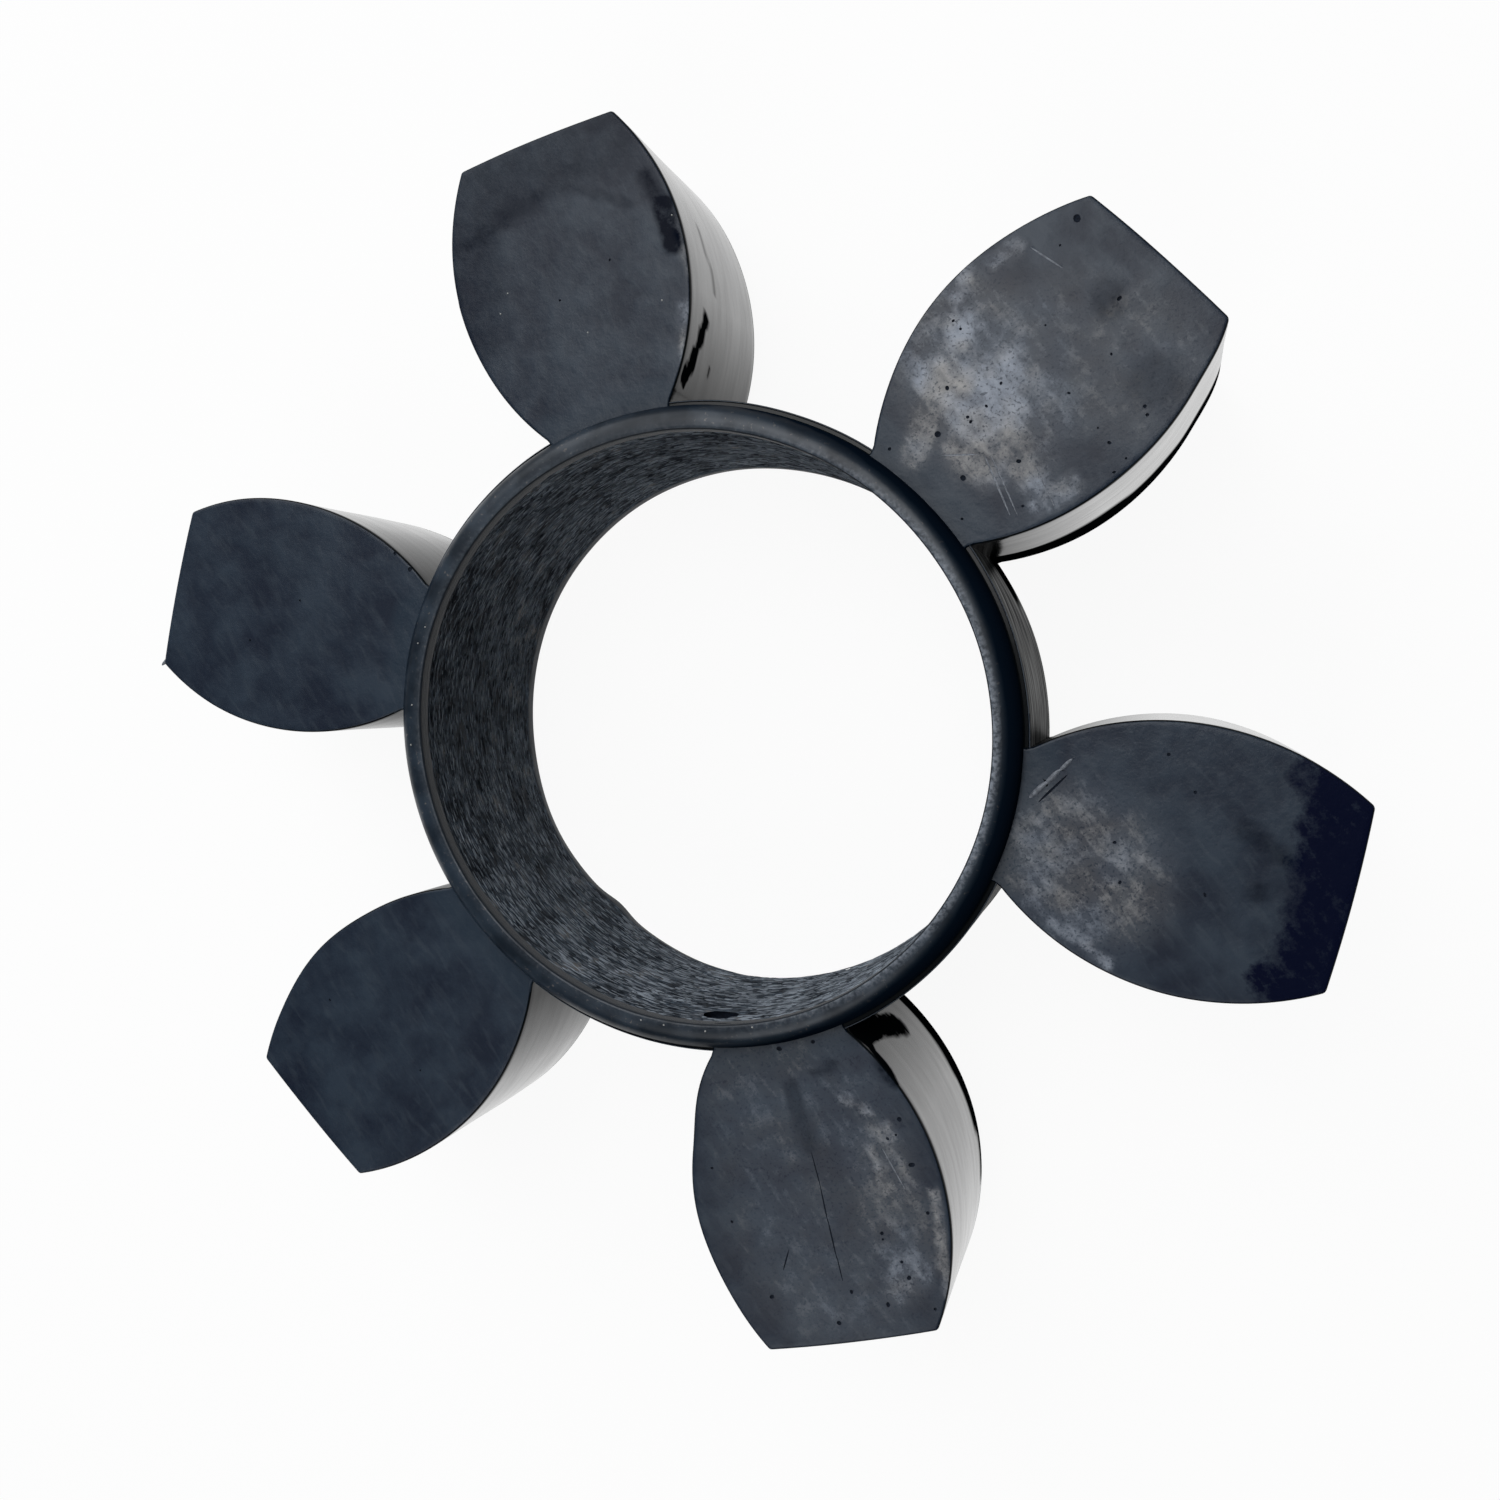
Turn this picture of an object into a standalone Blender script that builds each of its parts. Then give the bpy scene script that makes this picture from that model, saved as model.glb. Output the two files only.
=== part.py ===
"""Rubber insert of a jaw coupling, lying on its face.

It is one moulding: six barrel-shaped pads stand out from a thin ring. The jaws of the coupling's two
halves go into the gaps between the pads and push on their curved flanks.

Metres, +Z up. The origin is on the ring's axis, in the plane that the insert lies on.
"""

import math

import bmesh
import bpy

NAME = "coupling_insert"

# The pads, each a flat-ended barrel outline of even thickness
PAD_COUNT = 6
FIRST_PAD_ANGLE = math.radians(90)
PAD_THICKNESS = 0.0350
TIP_RADIUS = 0.0840  # from the ring's axis to the corners of a pad's flat end
TIP_WIDTH = 0.0230
TIP_CROWN = 0.0003  # how far the end's middle stands out past its corners
BELLY_RADIUS = 0.0654  # from the ring's axis to a pad's widest place
BELLY_WIDTH = 0.0337
ROOT_WIDTH = 0.0178  # where the flanks meet the hub's surface
PAD_EDGE = 0.0004  # width of the small bevel that the mould leaves on a pad's edges

# The ring that carries them
BORE_RADIUS = 0.0397
RING_WALL = 0.0044  # between the bore and the hub's surface, which shows between the pads
COLLAR_STEP = 0.0008  # how much smaller than the hub the ring is where it stands proud of the pads
COLLAR_RISE = 0.0035  # how far the ring stands proud of the pads, on each face
HUB_SETBACK = 0.0003  # how far the hub's edge lies below the pads' faces, where the mould parts
RIM_OUTER_ROUND = 0.0012
RIM_INNER_ROUND = 0.0004

# The soft ring lies a little out of round and the pads lean with it, each with a small lean of its own
OVAL_RISE = 0.0007  # how far the ring is out of round, outward at its long axis
OVAL_ANGLE = math.radians(120)  # where its long axis points
PAD_LEANS = (0.9, -0.7, 0.2, -0.4, -1.3, 0.1)  # degrees, turned about the ring's axis

# How finely curves are divided
RING_STEPS = 96
ROUND_STEPS = 4
FLANK_STEPS = 11
TIP_STEPS = 4

HUB_RADIUS = BORE_RADIUS + RING_WALL
COLLAR_RADIUS = HUB_RADIUS - COLLAR_STEP
RING_MIDDLE = BORE_RADIUS + RING_WALL / 2
RING_WIDTH = PAD_THICKNESS + 2 * COLLAR_RISE

RUBBER_COLOUR = (0.020, 0.024, 0.030, 1.0)
RUBBER_ROUGHNESS = 0.55


def clear_scene():
    for obj in list(bpy.data.objects):
        bpy.data.objects.remove(obj, do_unlink=True)


def new_collection(name):
    collection = bpy.data.collections.new(name)
    bpy.context.scene.collection.children.link(collection)
    return collection


def rubber():
    """Black moulded rubber with a dull satin skin."""
    material = bpy.data.materials.new("black_moulded_rubber")
    material.use_nodes = True
    shader = material.node_tree.nodes["Principled BSDF"]
    shader.inputs["Base Color"].default_value = RUBBER_COLOUR
    shader.inputs["Roughness"].default_value = RUBBER_ROUGHNESS
    shader.inputs["Metallic"].default_value = 0.0
    return material


def quarter(centre, radius, start):
    """Points of a quarter circle in the profile's plane, turning clockwise from the angle start."""
    angles = [start - math.pi / 2 * step / ROUND_STEPS for step in range(ROUND_STEPS + 1)]
    return [
        (centre[0] + radius * math.cos(angle), centre[1] + radius * math.sin(angle)) for angle in angles
    ]


def rim_profile(top):
    """Section of the ring's upper rim as (radius, height), from the bore over the crest to the ledge."""
    inner = quarter((BORE_RADIUS + RIM_INNER_ROUND, top - RIM_INNER_ROUND), RIM_INNER_ROUND, math.pi)
    outer = quarter((COLLAR_RADIUS - RIM_OUTER_ROUND, top - RIM_OUTER_ROUND), RIM_OUTER_ROUND, math.pi / 2)
    ledge_height = top - COLLAR_RISE - HUB_SETBACK
    ledge = [(COLLAR_RADIUS, ledge_height), (HUB_RADIUS, ledge_height)]
    return inner + outer + ledge


def ring_profile():
    """Closed section of the ring: up the bore, over the upper rim and down the outside."""
    upper = rim_profile(RING_WIDTH)
    lower = [(radius, RING_WIDTH - height) for radius, height in reversed(upper)]
    return upper + lower


def make_ring(collection):
    """The ring, turned about Z from its section."""
    profile = ring_profile()
    count = len(profile)
    mesh = bpy.data.meshes.new("ring")
    mesh.from_pydata(
        [(radius, 0.0, height) for radius, height in profile],
        [(index, (index + 1) % count) for index in range(count)],
        [],
    )
    ring = bpy.data.objects.new("ring", mesh)
    collection.objects.link(ring)
    screw = ring.modifiers.new("turn", "SCREW")
    screw.steps = RING_STEPS
    screw.render_steps = RING_STEPS
    screw.use_merge_vertices = True
    screw.merge_threshold = 0.00001
    screw.use_smooth_shade = False
    return ring


def flank_arc(end, half_width):
    """Points of the arc that leaves the belly along X and ends there, at that half width, belly first."""
    reach, bulge = end - BELLY_RADIUS, BELLY_WIDTH / 2 - half_width
    radius = (reach**2 + bulge**2) / (2 * bulge)
    offsets = [reach * step / FLANK_STEPS for step in range(FLANK_STEPS + 1)]
    return [
        (BELLY_RADIUS + offset, BELLY_WIDTH / 2 - radius + math.sqrt(radius**2 - offset**2))
        for offset in offsets
    ]


def pad_outline():
    """Outline of a pad that points along +X: two barrel flanks between the root and a flat tip."""
    half_tip, half_root = TIP_WIDTH / 2, ROOT_WIDTH / 2
    root = math.sqrt(HUB_RADIUS**2 - half_root**2)
    inner, outer = flank_arc(root, half_root), flank_arc(TIP_RADIUS, half_tip)
    flank = [(RING_MIDDLE, half_root)] + inner[::-1] + outer[1:]
    sides = [half_tip * (2 * step / TIP_STEPS - 1) for step in range(1, TIP_STEPS)]
    tip = [(TIP_RADIUS + TIP_CROWN * (1 - (y / half_tip) ** 2), y) for y in sides]
    return [(x, -y) for x, y in flank] + tip + list(reversed(flank))


def mesh_copy(obj, name, collection):
    """The evaluated object as a plain mesh object with its doubles merged, in place of the first."""
    bpy.context.view_layer.update()
    graph = bpy.context.evaluated_depsgraph_get()
    mesh = bpy.data.meshes.new_from_object(obj.evaluated_get(graph))
    mesh.transform(obj.matrix_world)
    work = bmesh.new()
    work.from_mesh(mesh)
    bmesh.ops.remove_doubles(work, verts=work.verts, dist=0.000002)
    work.to_mesh(mesh)
    work.free()
    bpy.data.objects.remove(obj, do_unlink=True)
    copy = bpy.data.objects.new(name, mesh)
    collection.objects.link(copy)
    return copy


def make_pad(index, collection):
    """One pad, its root reaching into the middle of the ring's wall."""
    curve = bpy.data.curves.new("pad_outline", "CURVE")
    curve.dimensions = "2D"
    curve.fill_mode = "BOTH"
    curve.extrude = PAD_THICKNESS / 2
    points = pad_outline()
    spline = curve.splines.new("POLY")
    spline.points.add(len(points) - 1)
    spline.use_cyclic_u = True
    for point, (x, y) in zip(spline.points, points):
        point.co = (x, y, 0.0, 1.0)
    outline = bpy.data.objects.new("pad_outline", curve)
    collection.objects.link(outline)
    outline.location.z = COLLAR_RISE + PAD_THICKNESS / 2
    lean = math.radians(PAD_LEANS[index % len(PAD_LEANS)])
    outline.rotation_euler.z = FIRST_PAD_ANGLE - 2 * math.pi * index / PAD_COUNT + lean
    pad = mesh_copy(outline, f"pad_{index + 1}", collection)
    bevel = pad.modifiers.new("edges", "BEVEL")
    bevel.width = PAD_EDGE
    bevel.segments = 1
    bevel.limit_method = "ANGLE"
    bevel.angle_limit = math.radians(40)
    pad.hide_render = True
    pad.display_type = "WIRE"
    return pad


def oval_set(x, y):
    """Where a point goes as the ring's round wall turns oval without stretching, pads leaning with it."""
    angle, radius = math.atan2(y, x), math.hypot(x, y)
    phase = 2 * (angle - OVAL_ANGLE)
    outward = OVAL_RISE * math.cos(phase)
    lean = 1.5 * OVAL_RISE / RING_MIDDLE * math.sin(phase)
    along = lean * (radius - RING_MIDDLE) - OVAL_RISE / 2 * math.sin(phase)
    new_radius = radius + outward
    return (
        new_radius * math.cos(angle) - along * math.sin(angle),
        new_radius * math.sin(angle) + along * math.cos(angle),
    )


def make_insert():
    parts = new_collection("rubber_coupling_insert")
    cutters = new_collection("pads_to_join")
    ring = make_ring(parts)
    for index in range(PAD_COUNT):
        pad = make_pad(index, cutters)
        join = ring.modifiers.new(f"join_{pad.name}", "BOOLEAN")
        join.operation = "UNION"
        join.solver = "EXACT"
        join.object = pad
    insert = mesh_copy(ring, NAME, parts)
    for vertex in insert.data.vertices:
        vertex.co.x, vertex.co.y = oval_set(vertex.co.x, vertex.co.y)
    insert.data.materials.clear()
    insert.data.materials.append(rubber())
    insert.data.shade_smooth()
    insert.data.set_sharp_from_angle(angle=math.radians(30))


clear_scene()
make_insert()
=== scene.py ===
"""Looks of a jaw coupling's rubber insert: barrel pads moulded round a thin ring, lying on a pale floor.

Metres, +Z up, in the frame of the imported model. The rubber is one closed mesh in place of the plain solid,
with a second mesh of loose strands where its bore is torn.
"""

import math

import bpy
import numpy as np
from mathutils import Matrix, Vector, noise

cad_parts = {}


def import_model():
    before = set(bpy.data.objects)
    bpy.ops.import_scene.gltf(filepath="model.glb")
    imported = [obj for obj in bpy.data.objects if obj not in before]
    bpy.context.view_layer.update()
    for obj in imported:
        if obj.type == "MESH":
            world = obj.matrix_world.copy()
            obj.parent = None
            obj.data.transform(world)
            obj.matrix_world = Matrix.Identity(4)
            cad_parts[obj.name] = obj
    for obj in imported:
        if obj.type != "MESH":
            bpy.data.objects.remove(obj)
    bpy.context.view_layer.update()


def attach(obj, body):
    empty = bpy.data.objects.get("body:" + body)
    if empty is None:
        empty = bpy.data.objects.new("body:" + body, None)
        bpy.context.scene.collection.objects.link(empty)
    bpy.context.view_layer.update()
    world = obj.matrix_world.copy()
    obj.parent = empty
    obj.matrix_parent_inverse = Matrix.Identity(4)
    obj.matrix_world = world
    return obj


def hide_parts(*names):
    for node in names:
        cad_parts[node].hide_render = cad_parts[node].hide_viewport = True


MM = 0.001
NODE = "coupling_insert"

# The pads, with the same sizes as the solid that the scene stands on
FIRST_PAD_ANGLE = math.radians(90)
PAD_LEANS = (0.9, -0.7, 0.2, -0.4, -1.3, 0.1)  # degrees, turned about the ring's axis
PAD_THICKNESS = 35.0 * MM
TIP_RADIUS = 84.0 * MM
TIP_WIDTH = 23.0 * MM
TIP_CROWN = 0.3 * MM
BELLY_RADIUS = 65.4 * MM
BELLY_WIDTH = 33.7 * MM
ROOT_WIDTH = 17.8 * MM
PAD_EDGE = 0.45 * MM

# Where a pad's flank departs from the even barrel: pad, side (1 is anticlockwise), radius, reach, outward
FLANK_TRIMS = (
    (3, -1, 62 * MM, 16 * MM, 0.5 * MM),
    (3, -1, 46 * MM, 10 * MM, 1.0 * MM),
    (4, -1, 66 * MM, 12 * MM, 0.4 * MM),
    (5, -1, 62 * MM, 20 * MM, -0.45 * MM),
    (1, 1, 62 * MM, 16 * MM, 0.3 * MM),
    (1, -1, 84 * MM, 9 * MM, 0.7 * MM),
)
TRIM_FADE = 8 * MM  # from the pad's middle line, over which a departure comes in

# The ring
BORE_RADIUS = 39.7 * MM
RING_WALL = 4.4 * MM
COLLAR_STEP = 0.8 * MM
COLLAR_RISE = 3.5 * MM
HUB_SETBACK = 0.3 * MM
RIM_OUTER_ROUND = 2.5 * MM
RIM_INNER_ROUND = 0.35 * MM
HUB_RADIUS = BORE_RADIUS + RING_WALL
COLLAR_RADIUS = HUB_RADIUS - COLLAR_STEP
RING_MIDDLE = BORE_RADIUS + RING_WALL / 2
RING_WIDTH = PAD_THICKNESS + 2 * COLLAR_RISE

LEDGE_CHAMFER = 0.15 * MM  # at the foot of the part that stands proud
HUB_CHAMFER = 0.3 * MM  # below the flash

# The thin flash where the mould's halves met, on the hub at the level of the pads' faces
FLASH_HEIGHT = 0.16 * MM
FLASH_WIDTH = 0.22 * MM

# The set that the soft ring has taken, which the pads lean with
OVAL_RISE = 0.7 * MM
OVAL_ANGLE = math.radians(120)
WAVER = Vector((0.1, 0.1, 0.04)) * MM  # how far the soft surface wanders
WAVER_LENGTH = 15 * MM
WAVER_SHIFTS = (Vector((9.3, -1.5, -7.9)), Vector((0.4, 0.2, 0.7)), Vector((-3.4, 6.2, 2.7)))

# Where the bore's lower rim is worn away: angle and reach in degrees, outward
FAR_RIM_WEAR = ((-95, 42, 2.1 * MM), (-144.5, 4.5, -0.7 * MM), (-168, 16, 0.7 * MM))
FAR_RIM_HEIGHT = 9 * MM

# How far out a painted mark fades, in its own radius, and over how much
FADE_END = 1.35
FADE_REACH = 0.8

# How finely the meshes are divided
RING_COLUMNS = 320
BORE_ROW = 0.7 * MM
INNER_ROUND_STEPS = 3
RIM_STEPS = 3
OUTER_ROUND_STEPS = 6
COLLAR_STEPS = 4
HUB_STEPS = 10
SLEEVE_COLUMNS = 120
PAD_CELL = 0.9 * MM
PAD_ROW = 1.75 * MM
PAD_EDGE_STEPS = 3
PAD_EDGE_ANGLE = math.radians(40)  # edges sharper than this get the mould's small round
SHARP_ANGLE = math.radians(32)  # edges sharper than this aren't shaded smooth
BEAD_CELLS = {"Segments": 14, "Rings": 8}

# The torn wall of the bore, between a smooth band at each rim
BORE_TEAR = {
    "Band": 2.4 * MM,
    "Band wander": 1.3 * MM,
    "Recess": 0.3 * MM,
    "Fray": 0.5 * MM,
    "Strand length": 2.6 * MM,
    "Strand height": 1.0 * MM,
}
TEAR_EDGE = 0.3 * MM  # over which the smooth band ends
TEAR_WANDER_SIZE = 7 * MM
TEAR_PATCH_SIZE = 6 * MM
ON_WALL = 0.01 * MM  # how far outside the bore's radius still counts as its wall

# The loose strands that the tearing left, which run round the bore
STRANDS = {
    "Density": 1650000.0,  # to a square metre
    "Half length": 0.75 * MM,
    "Half width": 0.075 * MM,
    "Half height": 0.08 * MM,
    "Tilt": 0.16,
    "Seed": 7,
}
STRAND_SPREAD = ((0.7, 0.7, 0.5), (1.5, 1.4, 1.7))  # least and most share of height, width and length
STRAND_CELLS = {"Segments": 3, "Rings": 3, "Radius": 1.0}
SHADE_SEED = 3
SLEEVE_SETBACK = 0.2 * MM  # how far outside the bore's radius the strands are rooted
SLEEVE_MARGIN = 0.5 * MM  # how far they keep from the smooth bands

# The hole in the bore's wall that the strands leave open
TEAR_MIDDLE = (-8.9 * MM, -39.0 * MM, 34.2 * MM)
TEAR_REACH = (3.5 * MM, 3.0 * MM, 2.9 * MM)

# Marks on the upper pad faces and down the walls, in mm: from x, y, z, to x, y, z, radius, strength
FACE = RING_WIDTH / MM - COLLAR_RISE / MM


def on_face(*rows):
    """Marks that lie on the upper pad faces, from rows of x, y, to x, y, radius and strength."""
    return [(x, y, FACE, to_x, to_y, FACE, radius, strength) for x, y, to_x, to_y, radius, strength in rows]


# Pale bloom, where wax or talc has come to the skin
BLOOM = on_face(
    (47.6, 40.5, 47.0, 38.8, 1.9, 1.0),
    (50.3, 46.3, 47.8, 43.5, 1.2, 0.7),
    (56.7, 47.5, 53.5, 46.6, 1.4, 0.45),
    (46.3, 31.6, 49.0, 28.6, 4.6, 1.0),
    (43.2, 34.7, 45.0, 33.0, 3.2, 0.95),
    (50.9, 32.9, 46.5, 27.5, 3.6, 0.8),
    (37.9, 26.4, 40.6, 30.4, 2.1, 0.6),
    (44.2, 25.2, 46.8, 22.0, 3.4, 0.62),
    (48.6, 21.8, 51.4, 18.6, 2.2, 0.52),
    (51.0, 15.5, 55.4, 16.4, 1.7, 0.5),
    (69.1, 37.1, 65.8, 36.2, 0.8, 0.5),
    (49.9, 28.6, 46.9, 38.6, 10.0, 0.42),
    (56.0, 33.0, 66.0, 30.0, 11.0, 0.26),
    (46.1, -27.5, 46.1, -27.5, 3.8, 0.3),
    (46.0, -33.6, 46.0, -33.6, 2.8, 0.35),
    (41.3, -27.5, 37.8, -32.7, 0.9, 0.5),
    (40.1, -33.3, 48.0, -34.7, 0.9, 0.5),
    (38.8, -35.7, 44.1, -42.7, 0.9, 0.6),
    (42.4, -27.9, 45.4, -31.9, 9.5, 0.45),
    (15.6, 66.5, 15.9, 58.5, 0.9, 0.35),
    (13.6, 55.5, 11.6, 47.5, 0.9, 0.5),
    (6.4, -52.6, 6.4, -52.6, 1.5, 0.5),
    (8.8, -54.9, 8.8, -54.9, 1.0, 0.5),
    (10.4, -58.3, 10.4, -58.3, 1.9, 0.55),
    (8.9, -76.3, 8.9, -76.3, 3.6, 0.5),
    (6.6, -79.0, 6.6, -79.0, 2.3, 0.4),
    (-2.8, -58.9, -2.8, -58.9, 1.6, 0.4),
    (8.2, -59.7, 8.7, -65.9, 0.8, 0.5),
    (10.6, -57.7, 12.7, -67.2, 0.8, 0.4),
    (14.8, -67.0, 13.1, -80.0, 0.8, 0.6),
    (8.0, -60.0, 9.0, -72.0, 5.5, 0.32),
    (0.0, -48.0, 0.0, -72.0, 14.0, 0.22),
)

# Dark smudges: greasy on the upper faces, painted shade down the walls
FACE_GREASE_AND_WALL_SHADE = on_face(
    (13.0, 74.0, 14.0, 69.5, 1.2, 0.8),
    (14.3, 69.5, 14.3, 63.9, 1.5, 1.0),
    (-15.4, 73.6, -8.0, 75.8, 1.3, 0.6),
    (-8.0, 75.8, -2.0, 77.0, 1.2, 0.5),
    (-9.0, 81.0, 9.0, 82.0, 6.0, 0.35),
    (-16.0, 62.0, -13.0, 78.0, 5.0, 0.32),
    (3.2, 78.6, 3.2, 78.6, 1.5, 0.4),
    (2.0, 76.7, 9.9, 71.1, 0.8, 0.35),
    (65.8, 37.3, 65.8, 37.3, 2.6, 0.5),
    (68.3, 26.1, 68.3, 26.1, 3.8, 0.4),
    (64.1, -30.2, 67.7, -34.9, 1.2, 0.5),
    (63.7, -38.1, 63.7, -38.1, 1.5, 0.5),
    (-0.3, -50.0, 0.0, -58.2, 1.3, 0.42),
    (3.3, -48.8, 6.3, -48.2, 0.7, 0.5),
) + [
    # Down the walls, painted shade: the floor's shadow mirrored low on the flanks of pads 2 and 4, and dark
    # patches near the roots of pads 1 and 4
    (10.0, -45.3, 36.0, 10.5, -45.9, 28.5, 2.4, 1.0),
    (10.3, -45.6, 30.0, 12.0, -48.0, 18.0, 2.6, 0.9),
    (10.5, -46.0, 36.5, 13.5, -51.5, 38.0, 1.3, 0.9),
    (12.1, -48.6, 21.2, 12.1, -48.6, 21.2, 1.6, 0.5),
    (16.0, 68.3, 28.5, 15.5, 59.4, 25.9, 1.0, 0.45),
    (14.1, 54.4, 31.1, 11.7, 48.9, 34.4, 1.6, 0.95),
    (11.7, 48.9, 34.4, 10.6, 47.0, 35.4, 2.1, 0.95),
    (11.6, 48.7, 26.3, 11.6, 48.7, 26.3, 1.5, 0.8),
    (44.0, 12.6, 9.0, 58.0, 14.4, 9.0, 7.0, 0.97),
    (58.0, 14.4, 8.0, 67.0, 18.8, 8.0, 6.0, 0.97),
    (67.0, 18.8, 7.0, 76.0, 27.5, 7.0, 5.5, 0.97),
    (8.6, -43.2, 5.0, 12.9, -50.0, 5.0, 3.6, 0.95),
    (12.9, -50.0, 5.0, 15.8, -58.0, 5.0, 3.6, 0.95),
    (15.8, -58.0, 5.0, 16.4, -66.0, 5.0, 3.2, 0.9),
    (16.4, -66.0, 4.0, 15.8, -74.0, 4.0, 2.8, 0.7),
]

# A navy-black patch over one tip: a painted dark reflection, matt where it lies
PAINTED_TIP_REFLECTION = on_face(
    (78.0, -28.5, 73.5, -38.0, 6.6, 1.0),
    (73.0, -39.0, 66.5, -51.0, 6.0, 1.0),
    (62.8, -50.5, 62.0, -49.0, 3.2, 0.9),
    (72.5, -25.5, 74.0, -27.0, 2.5, 0.8),
)

# Small pits in the upper faces: x, y and radius in mm
PITS = (
    (44.0, 33.2, 0.35), (41.3, 27.9, 0.51), (42.9, 21.5, 0.45), (50.1, 21.4, 0.36), (67.0, 37.0, 0.36),
    (64.8, 48.3, 0.51), (62.0, 45.8, 0.19), (66.4, 23.2, 0.29), (50.6, 31.6, 0.26), (48.1, 29.4, 0.26),
    (45.5, 28.8, 0.23), (45.7, 28.1, 0.23), (49.1, 15.8, 0.26), (41.4, 16.5, 0.26), (47.0, 41.2, 0.26),
    (47.6, 39.9, 0.20), (61.2, 20.2, 0.26), (60.8, 16.5, 0.22), (62.6, 17.7, 0.22), (60.4, 22.4, 0.20),
    (66.4, 22.1, 0.26), (34.9, 28.0, 0.26), (64.3, 30.7, 0.20), (58.2, 27.7, 0.22), (57.7, 36.8, 0.19),
    (57.9, -19.1, 0.28), (59.7, -24.4, 0.26), (48.8, -28.1, 0.26), (48.1, -33.1, 0.26), (57.5, -36.9, 0.28),
    (33.7, -31.1, 0.60), (12.9, -56.8, 0.38), (11.9, -58.7, 0.19), (10.7, -59.0, 0.26), (12.9, -62.9, 0.45),
    (6.6, -71.0, 0.26), (6.5, -71.8, 0.20), (8.2, -75.1, 0.26), (8.6, -77.3, 0.38), (4.9, -80.3, 0.38),
    (-2.3, -81.7, 0.32), (-10.5, -76.9, 0.32), (10.9, -81.8, 0.26), (-13.3, -66.1, 0.26),
    (-14.1, -58.5, 0.26), (13.3, -69.4, 0.26), (0.5, -77.9, 0.28), (-0.5, -44.6, 0.38), (4.3, -44.6, 0.38),
    (-37.0, 35.9, 0.38), (-35.4, 33.0, 0.38), (-3.2, 62.0, 0.20), (5.2, 64.8, 0.19), (-65.3, -24.1, 0.22),
    (-53.7, -37.0, 0.20), (-53.8, 33.8, 0.20), (-63.5, 30.5, 0.20),
)

# Cuts and scratches in the upper faces, in mm: x, y, to x, y, half width
CUTS = (
    (-8.0, -73.7, -6.4, -71.0, 0.1),
    (0.1, -58.7, 0.1, -64.0, 0.08),
    (0.1, -63.2, -0.2, -68.6, 0.1),
    (-0.1, -67.8, -0.3, -73.5, 0.11),
    (-0.2, -72.8, -0.3, -76.4, 0.08),
    (41.0, -21.0, 45.6, -18.4, 0.16),
)
SCRATCHES = (
    (58.4, 47.0, 61.6, 42.9, 0.13),
    (46.2, 23.6, 47.3, 14.9, 0.13),
    (47.0, 23.3, 48.2, 14.6, 0.11),
    (40.9, 25.2, 45.6, 23.8, 0.13),
    (52.0, 20.4, 52.8, 14.4, 0.09),
    (9.6, -60.0, 11.2, -66.0, 0.09),
)

# Tears in the bore and raised scars, in mm and degrees: x, y, z, heading, half length, width and height
BORE_TEARS = (
    (-8.9, -39.9, 34.2, -12.8, 3.1, 1.7, 2.6),
    (-7.1, -40.0, 29.2, -10.2, 0.16, 0.5, 2.7),
    (-7.6, -39.9, 26.1, -10.8, 0.55, 0.5, 0.3),
    (-6.7, -39.6, 41.0, -9.7, 1.9, 0.45, 0.25),
    (-39.9, 6.5, 16.9, 80.6, 0.9, 0.6, 0.25),
    (-34.9, 21.1, 29.6, 58.9, 0.8, 0.5, 0.3),
)
SCARS = (
    (41.5, -19.4, 38.2, 28.7, 1.8, 0.45, 0.65),
    (43.6, -18.3, 38.3, 31.0, 1.5, 0.38, 0.5),
    (45.6, -17.2, 38.4, 29.0, 1.2, 0.28, 0.28),
    (-78.6, 31.7, 38.0, 205.0, 1.2, 0.3, 0.3),
)
SPECKS = (
    (-33.7, 23.8, 42.0), (-35.4, 21.9, 42.0), (-38.7, 13.8, 42.0), (-40.4, 8.4, 42.0), (-17.3, -36.4, 42.0),
    (-14.3, -37.7, 42.0), (-8.8, -39.7, 42.0), (-2.3, -40.5, 42.0), (15.2, 67.5, 38.5), (-10.3, 65.6, 38.5),
    (-12.1, 63.2, 38.5), (10.8, 57.0, 38.5), (-0.5, 56.4, 38.5),
)
PIT_DEPTH = 0.16 * MM
CUT_DEPTH = 0.13 * MM
SCRATCH_DEPTH = 0.05 * MM
SPECK_RADIUS = 0.12 * MM

RUBBER_IOR = 1.52

# Sizes in the upper faces' satin skin. The grain is drawn a little coarser than real, so that it shows
CLOUD_SIZE = 8 * MM
WARMTH_SIZE = 7 * MM
MOTTLE_SIZE = 1.9 * MM
GRAIN_SIZE = 0.4 * MM
WIPE_SIZE = (5 * MM, 1.2 * MM, 1.0)  # length and width of a wiping stroke
WIPE_HEADING = math.radians(-67)
CLOUD_DEPTH, MOTTLE_DEPTH, GRAIN_DEPTH = 0.14 * MM, 0.05 * MM, 0.02 * MM
RUBBED_RADII = (47.5 * MM, 49 * MM)  # where the skin near the ring turns from rubbed to cloudy
RUBBED_WANDER = 2.5 * MM

# Sizes in the flanks' and the hub's skins, whose streaks run along the walls
FLANK_STREAK = (13 * MM, 2.2 * MM)  # length and width
# The flank's darker edges and root are painted shade
FLANK_EDGE_SHADE = (16.5 * MM, 17.1 * MM)  # how far from the middle level the flank darkens at its edges
FLANK_ROOT_SHADE_RADII = (46 * MM, 60 * MM)  # where the painted shade at the root fades out
HUB_STREAK = (11 * MM, 1.5 * MM)
STREAK_DEPTH = 0.08 * MM

# Sizes in the collar's skin, and which way its outer side is painted near black as shade
COLLAR_CLOUD_SIZE = 5 * MM
COLLAR_SPECK_SIZE = 0.6 * MM
COLLAR_DEPTH = 0.04 * MM
SHADED_SIDE = (0.95, -0.3, 0.0)

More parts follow.
